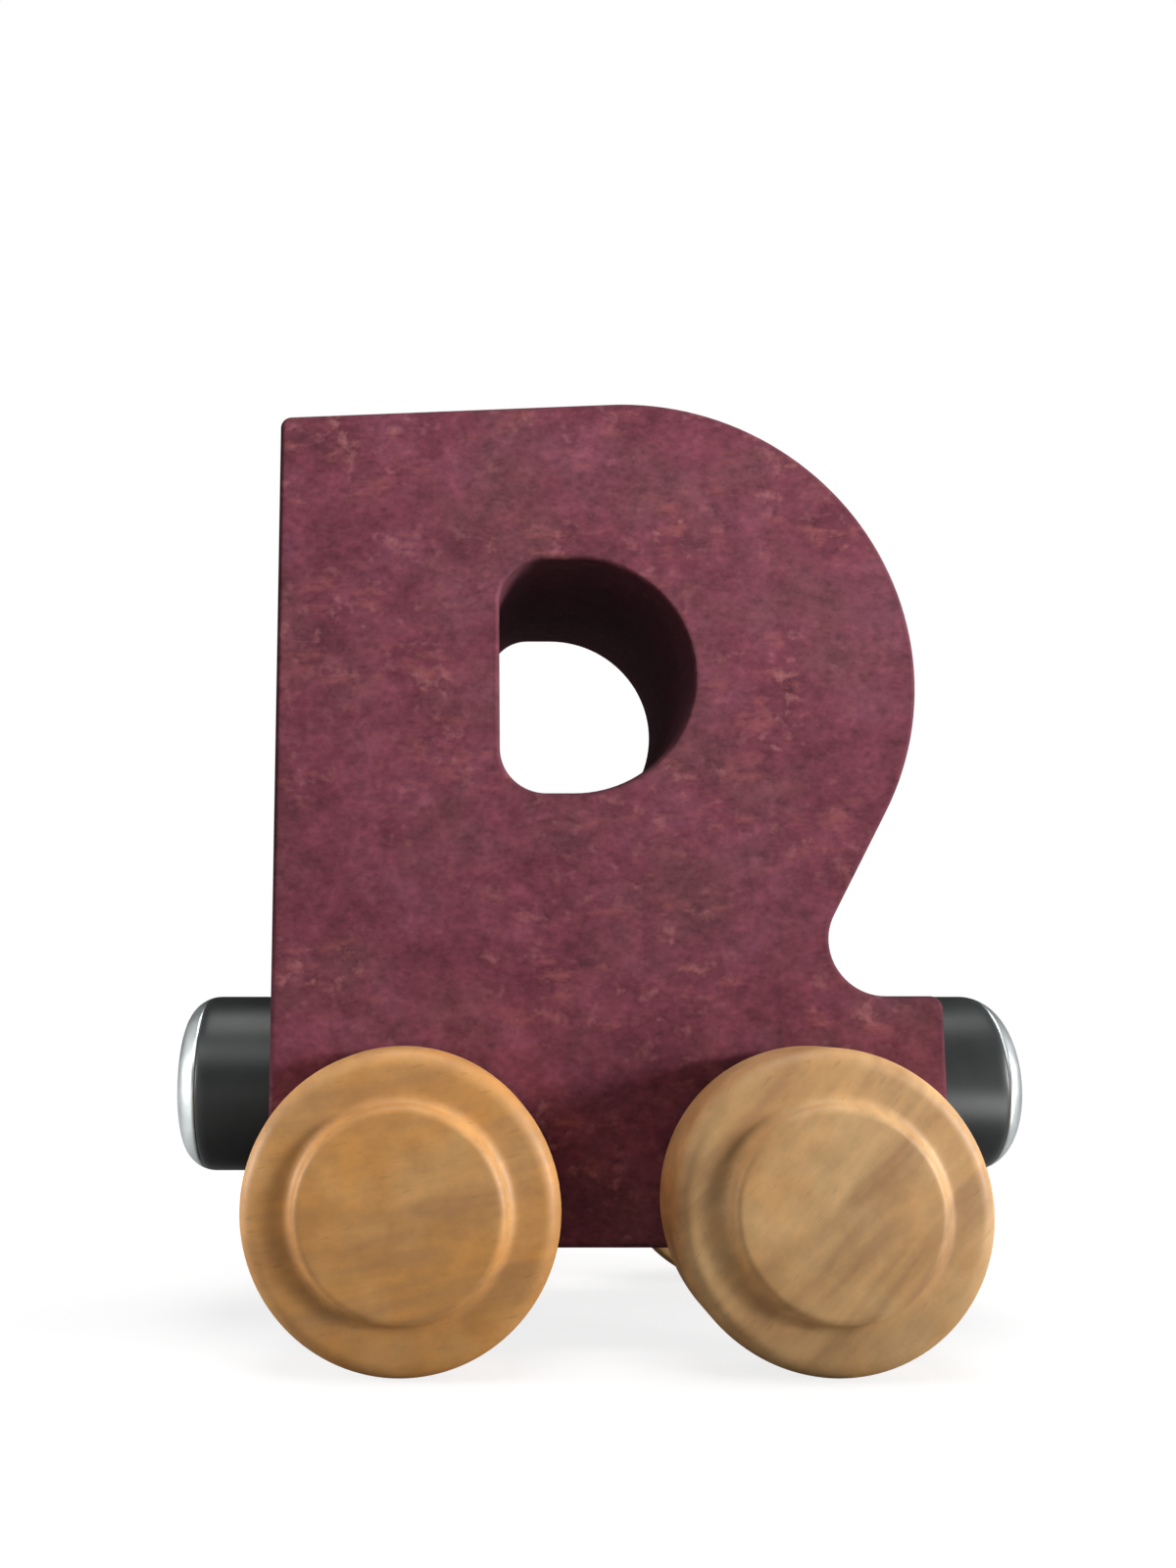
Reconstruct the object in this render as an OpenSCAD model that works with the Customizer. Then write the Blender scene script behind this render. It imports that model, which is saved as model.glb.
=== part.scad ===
// Letter train car: a thick wooden letter R that rolls on two pressed wheelsets,
// with a magnetic coupler at each end of its base.
// X runs along the train with the front end at -X, the letter reads from -Y,
// Z is up and the wheels stand on Z = 0. All sizes are in millimetres.

/* [Letter] */
// Length of the base, end to end
letter_l = 45.6; // [42:0.1:56]
// Height of the letter above its own bottom edge
letter_h = 59.05; // [55:0.05:70]
// Thickness of the board that the letter is cut from
letter_t = 19; // [15:0.5:26]
// Radius of the bowl's round outside
bowl_r = 20.2; // [17:0.1:22]
// How far the bowl reaches from the letter's straight back edge
bowl_reach = 44.75; // [41:0.05:47]
// Fall of the top edge from the bowl to the back edge, in degrees
top_fall = 2.4; // [0:0.1:4]
// Slope of the short edge under the bowl, in degrees from upright
leg_angle = 28.3; // [20:0.1:36]
// Height of the foot that carries the rear coupler
foot_h = 16.6; // [14:0.1:20]
// Radius of the notch between the bowl and the foot
notch_r = 3.75; // [2.5:0.05:5]
// Radius of the outline's corners
corner_r = 0.8; // [0.7:0.05:2.5]
// Width of the eased edge round both faces
edge_ease = 0.35; // [0.2:0.05:0.45]

/* [Hole] */
// Width of the upright stem, from the back edge to the hole
stem_w = 15.65; // [12:0.05:18]
// Width of the bowl's wall at its widest point
bowl_wall = 15.55; // [12:0.05:17]
// Height of the hole
hole_h = 16.8; // [12:0.1:19]
// Radius of the hole's two corners at the stem
hole_corner_r = 3.2; // [2:0.1:5]
// Height of the hole's middle above the bowl's middle
hole_rise = 0.15; // [-1:0.05:1]

/* [Wheels] */
// Diameter of a wheel at its tread
wheel_d = 20; // [17:0.1:24]
// Thickness of the rim
rim_t = 5.6; // [4.5:0.1:8]
// Diameter of the raised hub's flat face
hub_d = 12; // [10:0.1:13]
// How far the hub stands proud of the rim
hub_proud = 1; // [0.8:0.05:1.6]
// Radius of the rim's outer edge on the show side
rim_edge_r = 1.2; // [0.5:0.05:2.2]
// Radius of the rim's outer edge beside the letter
back_edge_r = 0.6; // [0.3:0.05:1.2]
// Radius of the hub's soft edge
hub_edge_r = 0.6; // [0.4:0.05:0.95]
// Steepest slope of the hub's side, where its edge runs into the cove, in degrees
hub_slope = 75; // [45:1:80]
// Running gap between a wheel and the letter
wheel_gap = 0.6; // [0.4:0.05:1.5]

/* [Axles] */
// Diameter of the steel axle
axle_d = 3.2; // [2.5:0.1:4]
// Radial running clearance of an axle in the letter
axle_clearance = 0.08; // [0.03:0.01:0.1]
// Height of the axles above the letter's bottom edge
axle_rise = 3.3; // [3:0.1:5]
// Distance of the front axle from the front end of the letter
front_axle_inset = 9.1; // [8:0.1:11]
// Distance of the rear axle from the rear end of the letter
rear_axle_inset = 9.7; // [8:0.1:11]
// Depth of the blind bore in the back of a wheel
wheel_bore_depth = 4.4; // [3:0.1:5]

/* [Couplers] */
// Outside diameter of a coupler
coupler_d = 12.8; // [10:0.1:15]
// How far a coupler stands out from the letter
coupler_l = 7.3; // [6.5:0.05:8]
// Height of the couplers above the letter's bottom edge
coupler_rise = 10.3; // [8:0.1:12]
// Rounding of a coupler's end, which runs over the sleeve's lip and the cap
end_r = 2.3; // [1.8:0.1:3]
// How far the sleeve covers the coupler
sleeve_l = 5.7; // [5:0.05:6]
// Wall of the sleeve
sleeve_wall = 0.8; // [0.6:0.05:1.5]
// Thickness of the sleeve's base against the letter
sleeve_base = 2; // [1.6:0.1:2.5]
// Thickness of the disc magnet
magnet_t = 2.2; // [1.5:0.1:2.8]
// Radial clearance of the magnet and the cap in the sleeve
coupler_clearance = 0.05; // [0.02:0.01:0.1]
// Diameter of the screw's shank
screw_d = 2.4; // [2:0.1:3]
// Diameter of the screw's countersunk head
screw_head_d = 5; // [4.4:0.1:5.4]
// Length of the screw in the wood, with its point
screw_grip = 8; // [5:0.5:10]
// Length of the screw's point
screw_point = 2; // [1:0.1:3]

/* [Hidden] */
$fn = 96;

// How far a cutting shape runs past the face that it cuts
past = 0.3;
// How far two shapes that make one surface run into each other
lap = 1.4;
// How much larger the outline's curves are drawn, so that each crosses the straight edge it runs into
run_in = 0.005;
// The same for the easing of those curves
ease_run_in = 0.02;

STAINED_MAPLE = "#78404c";
CLEAR_MAPLE = "#b98a58";
BLACK_PLASTIC = "#2c2c2e";
NICKEL = "#d2d6d8";
STEEL = "#b4b6b8";
FERRITE = "#4a4a4c";

// Places on the letter's outline, with [0, 0] at the front end of its bottom edge
bowl_c = [bowl_reach - bowl_r, letter_h - bowl_r];
bowl_top = bowl_c + bowl_r * [-sin(top_fall), cos(top_fall)];
bowl_end = bowl_c + bowl_r * [cos(leg_angle), -sin(leg_angle)];
back_top = [0, bowl_top.y - bowl_top.x * tan(top_fall)];
// The notch touches the sloped leg edge and the top of the foot
leg_normal = [cos(leg_angle), -sin(leg_angle)];
leg_side = bowl_end + notch_r * leg_normal;
notch_c = [leg_side.x - (leg_side.y - foot_h - notch_r) * tan(leg_angle), foot_h + notch_r];
leg_end = notch_c - notch_r * leg_normal;
// The foot's flat top starts under the notch, and early enough to hold the rounded corner of the foot
foot_flat_x = min(notch_c.x, letter_l - corner_r - edge_ease);
back_top_c = [corner_r, back_top.y + corner_r * tan(top_fall) - corner_r / cos(top_fall)];

hole_r = hole_h / 2;
hole_c = [bowl_reach - bowl_wall - hole_r, bowl_c.y + hole_rise];
hole_corner_x = stem_w + hole_corner_r;
hole_corner_dy = hole_r - hole_corner_r;

wheel_r = wheel_d / 2;
hub_r = hub_d / 2;
hub_t = rim_t + hub_proud;
// The hub's edge and the cove below it make one smooth curve that falls by the hub's height
cove_r = hub_proud / (1 - cos(hub_slope)) - hub_edge_r;
hub_edge_c = [hub_r, hub_t - hub_edge_r];
cove_c = hub_edge_c + (hub_edge_r + cove_r) * [sin(hub_slope), cos(hub_slope)];
// The rim's rounding ends where the cove starts, at the latest
rim_round_r = min(rim_edge_r, wheel_r - cove_c.x);
axle_r = axle_d / 2;
axle_l = letter_t + 2 * (wheel_gap + wheel_bore_depth);
wheel_back_y = letter_t / 2 + wheel_gap;

letter_z = wheel_r - axle_rise;
front_axle_x = front_axle_inset - letter_l / 2;
rear_axle_x = letter_l / 2 - rear_axle_inset;
coupler_z = letter_z + coupler_rise;

coupler_r = coupler_d / 2;
sleeve_bore_r = coupler_r - sleeve_wall;
insert_r = sleeve_bore_r - coupler_clearance;
screw_r = screw_d / 2;
screw_head_r = screw_head_d / 2;
screw_head_t = screw_head_r - screw_r;

// A shape outside the body at a square or blunt corner, up to a rounding of radius r about c
module corner_waste(corner, c, r, touch_a, touch_b) {
    difference() {
        polygon([c, touch_a, corner + (corner - c), touch_b]);
        translate(c) circle(r + run_in);
    }
}

// Straight edges of the letter, with the round notch cut in between the leg's edge and the foot
module letter_straights() {
    difference() {
        polygon([[0, 0], [letter_l, 0], [letter_l, notch_c.y], notch_c,
                 leg_end, bowl_end, bowl_c, bowl_top, back_top]);
        translate([foot_flat_x, foot_h]) square([letter_l, notch_r + lap]);
        translate(notch_c) circle(notch_r + run_in);
    }
}

module letter_outline() {
    difference() {
        union() {
            letter_straights();
            translate(bowl_c) circle(bowl_r + run_in);
        }
        corner_waste([0, 0], [corner_r, corner_r], corner_r, [0, corner_r], [corner_r, 0]);
        corner_waste([letter_l, 0], [letter_l - corner_r, corner_r], corner_r,
                     [letter_l - corner_r, 0], [letter_l, corner_r]);
        corner_waste([letter_l, foot_h], [letter_l - corner_r, foot_h - corner_r], corner_r,
                     [letter_l, foot_h - corner_r], [letter_l - corner_r, foot_h]);
        corner_waste(back_top, back_top_c, corner_r,
                     back_top_c + corner_r * [-sin(top_fall), cos(top_fall)], [0, back_top_c.y]);
        hole_outline();
    }
}

// The hole is a D with a straight side at the stem and a round side in the bowl
module hole_outline() {
    intersection() {
        union() {
            translate([stem_w, hole_c.y - hole_r]) square([hole_c.x - stem_w, hole_h]);
            translate(hole_c) circle(hole_r + run_in);
        }
        union() {
            translate([hole_corner_x, hole_c.y - hole_r - lap]) square([letter_l, hole_h + 2 * lap]);
            translate([stem_w, hole_c.y - hole_corner_dy]) square([letter_l, 2 * hole_corner_dy]);
            for (side = [-1, 1])
                translate([hole_corner_x, hole_c.y + side * hole_corner_dy]) circle(hole_corner_r + run_in);
        }
    }
}

// Section of the wood that easing takes off: x runs into the wood from the edge, y from the face
module ease_section() {
    polygon([[-past, -past], [edge_ease + past, -past], [-past, edge_ease + past]]);
}

// Easing along a straight edge from a to b, with the wood on the left.
// It runs on past an end that meets an outward curve, where the wood falls away.
module ease_line(a, b, on_a = lap, on_b = lap) {
    run = b - a;
    translate([a.x, a.y, 0])
        rotate([0, 0, atan2(run.y, run.x)])
            translate([-on_a, 0, 0])
                rotate([90, 0, 90])
                    linear_extrude(norm(run) + on_a + on_b) ease_section();
}

// Easing round an outward curve, with the wood inside it
module ease_arc(c, r, from, to) {
    translate([c.x, c.y, 0])
        rotate([0, 0, from])
            rotate_extrude(angle = to - from)
                translate([r + ease_run_in, 0])
                    mirror([1, 0]) ease_section();
}

// Easing round a hollow curve, with the wood outside it. It runs on past both ends.
module ease_hollow(c, r, from, to) {
    on = lap / r * 180 / PI;
    translate([c.x, c.y, 0])
        rotate([0, 0, from - on])
            rotate_extrude(angle = to - from + 2 * on)
                translate([r + ease_run_in, 0]) ease_section();
}

module ease_outline() {
    ease_line([corner_r, 0], [letter_l - corner_r, 0]);
    ease_arc([letter_l - corner_r, corner_r], corner_r, 270, 360);
    ease_line([letter_l, corner_r], [letter_l, foot_h - corner_r]);
    ease_arc([letter_l - corner_r, foot_h - corner_r], corner_r, 0, 90);
    ease_line([letter_l - corner_r, foot_h], [foot_flat_x, foot_h], on_b = 0);
    ease_hollow(notch_c, notch_r, 180 - leg_angle, 270);
    ease_line(leg_end, bowl_end, on_a = 0);
    ease_arc(bowl_c, bowl_r, -leg_angle, 90 + top_fall);
    ease_line(bowl_top, back_top_c + corner_r * [-sin(top_fall), cos(top_fall)]);
    ease_arc(back_top_c, corner_r, 90 + top_fall, 180);
    ease_line([0, back_top_c.y], [0, corner_r]);
    ease_arc([corner_r, corner_r], corner_r, 180, 270);
}

module ease_hole() {
    top = hole_c.y + hole_r;
    bottom = hole_c.y - hole_r;
    ease_line([stem_w, hole_c.y - hole_corner_dy], [stem_w, hole_c.y + hole_corner_dy], 0, 0);
    ease_hollow([hole_corner_x, hole_c.y + hole_corner_dy], hole_corner_r, 90, 180);
    ease_line([hole_corner_x, top], [hole_c.x, top], 0, 0);
    ease_hollow(hole_c, hole_r, -90, 90);
    ease_line([hole_c.x, bottom], [hole_corner_x, bottom], 0, 0);
    ease_hollow([hole_corner_x, hole_c.y - hole_corner_dy], hole_corner_r, 180, 270);
}

module letter_board() {
    translate([-letter_l / 2, letter_t / 2, letter_z])
        rotate([90, 0, 0])
            difference() {
                linear_extrude(letter_t) letter_outline();
                for (face = [0, 1])
                    translate([0, 0, face * letter_t])
                        mirror([0, 0, face]) {
                            ease_outline();
                            ease_hole();
                        }
            }
}

module axle_hole(x) {
    translate([x, letter_t / 2 + past, wheel_r])
        rotate([90, 0, 0])
            cylinder(r = axle_r + axle_clearance, h = letter_t + 2 * past);
}

// Places a shape drawn along +Z on a coupler's axis, starting at the letter's end
module at_coupler(end) {
    translate([end * letter_l / 2, 0, coupler_z])
        rotate([0, end * 90, 0]) children();
}

// Shank and point of a coupler's screw, from a height above the letter's end down into the wood
module screw_shank(above) {
    translate([0, 0, screw_point - screw_grip])
        cylinder(r = screw_r, h = screw_grip - screw_point + above);
    translate([0, 0, -screw_grip])
        cylinder(r1 = 0, r2 = screw_r, h = screw_point);
}

module letter() {
    color(STAINED_MAPLE)
        difference() {
            letter_board();
            axle_hole(front_axle_x);
            axle_hole(rear_axle_x);
            for (end = [-1, 1])
                at_coupler(end) screw_shank(past);
        }
}

module axle(x) {
    color(STEEL)
        translate([x, axle_l / 2, wheel_r])
            rotate([90, 0, 0])
                cylinder(r = axle_r, h = axle_l);
}

// Half section of a wheel: x is the radius, y the height above the face beside the letter
module wheel_section() {
    difference() {
        union() {
            square([wheel_r - rim_round_r, rim_t]);
            translate([0, back_edge_r]) square([wheel_r, rim_t - rim_round_r - back_edge_r]);
            translate([wheel_r - rim_round_r, rim_t - rim_round_r]) circle(rim_round_r);
            translate([wheel_r - back_edge_r, back_edge_r]) circle(back_edge_r);
            square([wheel_r - back_edge_r, rim_t / 2]);
            square([hub_r, hub_t]);
            translate(hub_edge_c) circle(hub_edge_r);
            difference() {
                polygon([[hub_r, rim_t - past], [cove_c.x, rim_t - past], cove_c, hub_edge_c]);
                translate(cove_c) circle(cove_r);
            }
        }
        square([axle_r, wheel_bore_depth]);
    }
}

// A wheel on the left side of the train, which faces -Y, or on the right side
module wheel(x, side) {
    color(CLEAR_MAPLE)
        translate([x, side * wheel_back_y, wheel_r])
            rotate([-side * 90, 0, 0])
                rotate_extrude() wheel_section();
}

// Half section of a whole coupler: x is the radius, y the height above the letter's end
module coupler_section() {
    square([coupler_r, coupler_l - end_r]);
    square([coupler_r - end_r, coupler_l]);
    translate([coupler_r - end_r, coupler_l - end_r]) circle(end_r);
}

module coupler_sleeve(end) {
    color(BLACK_PLASTIC)
        at_coupler(end)
            difference() {
                rotate_extrude()
                    difference() {
                        intersection() {
                            coupler_section();
                            square([coupler_d, sleeve_l]);
                        }
                        translate([0, sleeve_base]) square([sleeve_bore_r, sleeve_l]);
                    }
                translate([0, 0, -past]) cylinder(r = screw_r, h = sleeve_base + 2 * past);
                translate([0, 0, sleeve_base - screw_head_t])
                    cylinder(r1 = screw_r, r2 = screw_head_r, h = screw_head_t);
            }
}

module coupler_magnet(end) {
    color(FERRITE)
        at_coupler(end)
            translate([0, 0, sleeve_base])
                cylinder(r = insert_r, h = magnet_t);
}

// The cap rests on the sleeve's rim and on the magnet, with a plug that fits the sleeve
module coupler_cap(end) {
    plug_z = sleeve_base + magnet_t;
    color(NICKEL)
        at_coupler(end)
            rotate_extrude() {
                intersection() {
                    coupler_section();
                    translate([0, sleeve_l]) square([coupler_d, coupler_l]);
                }
                translate([0, plug_z]) square([insert_r, sleeve_l - plug_z + past]);
            }
}

module coupler_screw(end) {
    color(STEEL)
        at_coupler(end) {
            screw_shank(sleeve_base - screw_head_t);
            translate([0, 0, sleeve_base - screw_head_t])
                cylinder(r1 = screw_r, r2 = screw_head_r, h = screw_head_t);
        }
}

letter();
axle(front_axle_x);  // front_axle
wheel(front_axle_x, -1);  // front_left_wheel
wheel(front_axle_x, 1);  // front_right_wheel
axle(rear_axle_x);  // rear_axle
wheel(rear_axle_x, -1);  // rear_left_wheel
wheel(rear_axle_x, 1);  // rear_right_wheel
coupler_sleeve(-1);  // front_coupler_sleeve
coupler_magnet(-1);  // front_coupler_magnet
coupler_cap(-1);  // front_coupler_cap
coupler_screw(-1);  // front_coupler_screw
coupler_sleeve(1);  // rear_coupler_sleeve
coupler_magnet(1);  // rear_coupler_magnet
coupler_cap(1);  // rear_coupler_cap
coupler_screw(1);  // rear_coupler_screw
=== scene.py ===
"""Looks of a wooden letter train car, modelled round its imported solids.

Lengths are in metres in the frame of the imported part: X runs along the train with the front end
at -X, the letter reads from -Y, Z is up and the wheels stand on Z = 0.
"""

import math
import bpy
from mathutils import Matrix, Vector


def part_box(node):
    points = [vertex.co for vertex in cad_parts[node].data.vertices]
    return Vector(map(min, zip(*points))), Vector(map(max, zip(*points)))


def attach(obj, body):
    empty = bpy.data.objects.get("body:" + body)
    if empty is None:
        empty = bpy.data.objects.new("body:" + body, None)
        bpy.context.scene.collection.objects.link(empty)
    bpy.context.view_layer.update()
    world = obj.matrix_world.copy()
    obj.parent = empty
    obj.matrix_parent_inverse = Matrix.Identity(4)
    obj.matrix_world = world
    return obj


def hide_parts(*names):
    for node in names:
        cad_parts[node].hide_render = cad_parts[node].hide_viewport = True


bl_info = {
    "name": "Letter Train Car",
    "version": (1, 0, 0),
    "blender": (4, 5, 0),
    "location": "3D View > Sidebar > Letter Car",
    "description": "Models and finishes a wooden letter car on wheelsets, with magnetic couplers",
    "category": "Object",
}

import bmesh
import bpy
from bpy.props import FloatProperty, FloatVectorProperty, IntProperty, PointerProperty
from bpy.types import Operator, Panel, PropertyGroup
from mathutils import Matrix, Vector

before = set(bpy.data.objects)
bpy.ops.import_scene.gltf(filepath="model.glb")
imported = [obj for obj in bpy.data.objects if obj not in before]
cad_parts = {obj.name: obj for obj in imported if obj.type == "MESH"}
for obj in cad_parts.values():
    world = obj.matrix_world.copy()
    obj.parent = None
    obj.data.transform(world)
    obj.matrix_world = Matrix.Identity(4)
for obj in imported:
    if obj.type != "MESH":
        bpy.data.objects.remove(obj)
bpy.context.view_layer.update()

MM = 0.001
QUARTER = math.radians(90)

# Points closer than this are one point
WELD = 0.002 * MM
# Most that a chord may leave its arc
CHORD_SAG = 0.004 * MM
# Distance of the extra edge that keeps the shading of a curve off the flat beside it
SUPPORT = 0.25 * MM
# Steps round the mouth of a bore
BORE_STEPS = 48
# Steps across a rounded rim, and the share of the walls' dye and painted shade that the first one holds
RIM_STEPS = 5
RIM_SOAK_AND_SHADE = 0.8
# Least part along X in the normal of a face at the letter's flat ends
END_FACING = 0.999
# Radius of the floor, and the steps round it
FLOOR_RADIUS = 3
FLOOR_STEPS = 96
# Sockets of the colour Mix node: its two colours and its result
MIX_A = 6
MIX_B = 7
MIX_OUT = 2

ENDS = {"front": -1, "rear": 1}
SIDES = {"left": -1, "right": 1}


def srgb(code):
    """Linear colour with alpha from an sRGB hex code."""
    levels = [int(code[i:i + 2], 16) / 255 for i in (1, 3, 5)]
    linear = [v / 12.92 if v <= 0.04045 else ((v + 0.055) / 1.055) ** 2.4 for v in levels]
    return (*linear, 1.0)


def length(name, millimetres, description):
    """Property for a length that is written in millimetres."""
    return FloatProperty(name=name, description=description, default=millimetres * MM,
                         min=0, unit="LENGTH", precision=5)


def angle(name, degrees, description):
    """Property for an angle that is written in degrees."""
    return FloatProperty(name=name, description=description, default=math.radians(degrees),
                         subtype="ANGLE")


def number(name, value, description):
    """Property for a plain number."""
    return FloatProperty(name=name, description=description, default=value)


def point(name, millimetres, description):
    """Property for a place that is written in millimetres."""
    return FloatVectorProperty(name=name, description=description, size=3, subtype="TRANSLATION",
                               default=tuple(value * MM for value in millimetres))


def colour(name, code, description):
    """Property for a colour that is written as an sRGB hex code."""
    return FloatVectorProperty(name=name, description=description, default=srgb(code),
                               size=4, min=0, max=1, subtype="COLOR")


class LetterShape(PropertyGroup):
    """Sizes of the letter that its box doesn't give."""

    bowl_radius: length("Bowl radius", 20.2, "Radius of the bowl's round outside")
    bowl_reach: length("Bowl reach", 44.75, "How far the bowl reaches from the straight back edge")
    top_fall: angle("Top fall", 2.4, "Fall of the top edge from the bowl to the back edge")
    leg_slope: angle("Leg slope", 28.3, "Slope of the short edge under the bowl, from upright")
    foot_height: length("Foot height", 16.6, "Height of the foot that carries the rear coupler")
    notch_radius: length("Notch radius", 3.75, "Radius of the notch between the bowl and the foot")
    corner_radius: length("Corner radius", 0.8, "Radius of the outline's corners")
    edge_radius: length("Edge radius", 0.35, "Rounding that sanding left along both faces")
    stem_width: length("Stem width", 15.65, "Width of the stem, from the back edge to the hole")
    bowl_wall: length("Bowl wall", 15.55, "Width of the bowl's wall at its widest point")
    hole_height: length("Hole height", 16.8, "Height of the hole")
    hole_corner: length("Hole corner", 3.2, "Radius of the hole's two corners at the stem")
    hole_rise: length("Hole rise", 0.15, "Height of the hole's middle above the bowl's middle")
    axle_clearance: length("Axle clearance", 0.08, "Radial running clearance of an axle")
    screw_hole: length("Screw hole", 1.2, "Radius of the hole for a coupler's screw in each end")


class WheelShape(PropertyGroup):
    """Sizes of a turned wheel that its box doesn't give."""

    hub_proud: length("Hub proud", 1, "How far the hub stands proud of the rim")
    hub_radius: length("Hub radius", 6, "Radius of the raised hub's flat face")
    hub_edge: length("Hub edge", 0.6, "Rounding of the hub's soft edge")
    hub_slope: angle("Hub slope", 75, "Steepest slope of the hub's side, where its edge runs into the cove")
    rim_edge: length("Rim edge", 1.2, "Rounding of the rim's outer edge on the show side")
    back_edge: length("Back edge", 0.6, "Rounding of the rim's outer edge beside the letter")
    bore_depth: length("Bore depth", 4.4, "Depth of the blind bore that holds the axle")
    segments: IntProperty(name="Segments", description="Steps of a full turn", default=128, min=24)


class CouplerShape(PropertyGroup):
    """Sizes of a coupler that its boxes don't give."""

    end_radius: length("End radius", 2.3, "Rounding of the coupler's end, over the sleeve and the cap")
    seam: length("Seam", 0.08, "Broken edge of the sleeve and of the cap where they meet")
    wall: length("Sleeve wall", 0.8, "Wall of the moulded sleeve")
    base: length("Sleeve base", 2, "Thickness of the sleeve's base against the letter")
    clearance: length("Clearance", 0.05, "Radial clearance of the cap's plug in the sleeve")
    screw_hole: length("Screw hole", 1.2, "Radius of the hole in the sleeve's base")
    screw_head: length("Screw head", 2.5, "Radius of the countersink in the sleeve's base")


class Finishes(PropertyGroup):
    """Colours of the finishes."""

    stain: colour("Stain", "#783d4a", "Burgundy dye on the letter, as it lies on most of the wood")
    stain_pink: colour("Pink stain", "#7c4354", "Dye where it lies thin, which shows as a purple pink")
    stain_dark: colour("Dark stain", "#683340", "Dye where the wood drank more of it")
    # The soaked stain is the cut edges' dye deepened into painted shade, which darkens the side walls and the
    # inside of the hole
    stain_soaked_and_shade: colour("Soaked stain", "#2c131b", "Dye on the cut edges, which drank the most of it")
    stain_brown: colour("Brown stain", "#6a4547", "Dye where the wood shows through as brown")
    stain_rust: colour("Rusty stain", "#9b5858", "Warmer wood where the dye was rubbed thin")
    stain_fleck: colour("Stain fleck", "#a76a6c", "Wood where the dye was rubbed away")
    maple: colour("Maple", "#db9c55", "Clear coated maple of the wheels, where it is warm")
    maple_pale: colour("Pale maple", "#e2b67e", "Clear coated maple of the wheels, where it is pale")
    maple_dark: colour("Dark maple", "#b08256", "Darker bands and lines of the maple's grain")
    plastic: colour("Plastic", "#262a2a", "Moulded black plastic of the sleeves")
    nickel: colour("Nickel", "#e0e7e7", "Nickel plate of the caps")
    steel: colour("Steel", "#b6b8ba", "Drawn steel of the axles")
    zinc: colour("Zinc", "#b9bcc0", "Zinc plate of the screws")
    ferrite: colour("Ferrite", "#3c3c3f", "Sintered ferrite of the magnets")


class StageSetup(PropertyGroup):
    """Camera, light and floor."""

    camera_place: point("Camera place", (-10.61, -89.5, 22.04), "Where the camera stands")
    camera_pitch: angle("Camera pitch", 6.7, "How far the camera looks up from level")
    lens: number("Lens", 27, "Focal length on a 36 mm sensor")
    shift_across: number("Shift across", 0.0879, "Frame's shift sideways")
    shift_up: number("Shift up", 0.0591, "Frame's shift upwards")
    key_power: number("Key light", 7.6, "Power of the broad spot at the right")
    beam_power: number("Beam", 5.2, "Power of the spot beside the key that fades towards the floor")
    edge_power: number("Edge light", 0.1, "Power of the small spot at the left, close to the wheels")
    top_strength: number("Top light", 1.8, "Strength of the light overhead")
    fill_strength: number("Fill light", 0.25, "Strength of the light at the left")
    back_strength: number("Back light", 1.7, "Strength of the light behind")
    sky_strength: number("Sky light", 0.03, "Strength of the light all round")
    # The glow also scales the floor's painted reflections in glossy surfaces
    floor_glow: number("Floor glow", 0.81, "Light that the floor adds where it has to show as white")
    # The patch glows only in reflections: a painted reflection that lays a highlight band on the rear
    # coupler's sleeve
    reflection_patch_place: point("Patch place", (50, -44, 0), "Middle of the bright patch before the rear coupler")
    reflection_patch_glow: number("Patch glow", 9, "Reflected brightness of the patch, against the floor's glow")
    floor: colour("Floor", "#8c8c8c", "Plain pale floor")
    backdrop: colour("Backdrop", "#ffffff", "White backdrop")


class LetterCar(PropertyGroup):
    """All that can be set on the letter train car."""

    letter: PointerProperty(type=LetterShape)
    wheel: PointerProperty(type=WheelShape)
    coupler: PointerProperty(type=CouplerShape)
    finish: PointerProperty(type=Finishes)
    stage: PointerProperty(type=StageSetup)


def draw_straight(bm, tip, target):
    """Extrudes a chain's tip to a point, with an extra vertex near both ends of a long run."""
    start = tip.co.copy()
    run = target - start
    stops = [target]
    if run.length > 4 * SUPPORT:
        inset = run.normalized() * SUPPORT
        stops = [start + inset, target - inset, target]
    for stop in stops:
        new_tip = bmesh.ops.extrude_vert_indiv(bm, verts=[tip])["verts"][0]
        bmesh.ops.translate(bm, verts=[new_tip], vec=stop - tip.co)
        tip = new_tip
    return tip


def draw_arc(bm, tip, centre, axis, turn):
    """Spins a chain's tip about a centre, in steps that keep to the arc."""
    step = 2 * math.acos(1 - CHORD_SAG / (tip.co - centre).length)
    spun = bmesh.ops.spin(bm, geom=[tip], cent=centre, axis=axis, angle=turn,
                          steps=max(3, math.ceil(abs(turn) / step)))
    return next(g for g in spun["geom_last"] if isinstance(g, bmesh.types.BMVert))


def draw_chain(bm, plane, start, moves):
    """Draws a chain of edges in a plane and returns its edges.

    A move is a point to go straight to, or a centre and an anticlockwise turn about it.
    """
    known = set(bm.edges)
    axis = plane.to_3x3().col[2]
    tip = bm.verts.new(plane @ Vector((*start, 0)))
    for move in moves:
        place = plane @ Vector((move[0], move[1], 0))
        tip = draw_straight(bm, tip, place) if len(move) == 2 else draw_arc(bm, tip, place, axis, move[2])
    return [e for e in bm.edges if e not in known]


def plane_of(origin, across, up):
    """Matrix of a drawing plane with its first two axes and its origin given."""
    across, up = Vector(across), Vector(up)
    plane = Matrix((across, up, across.cross(up))).transposed().to_4x4()
    plane.translation = origin
    return plane


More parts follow.
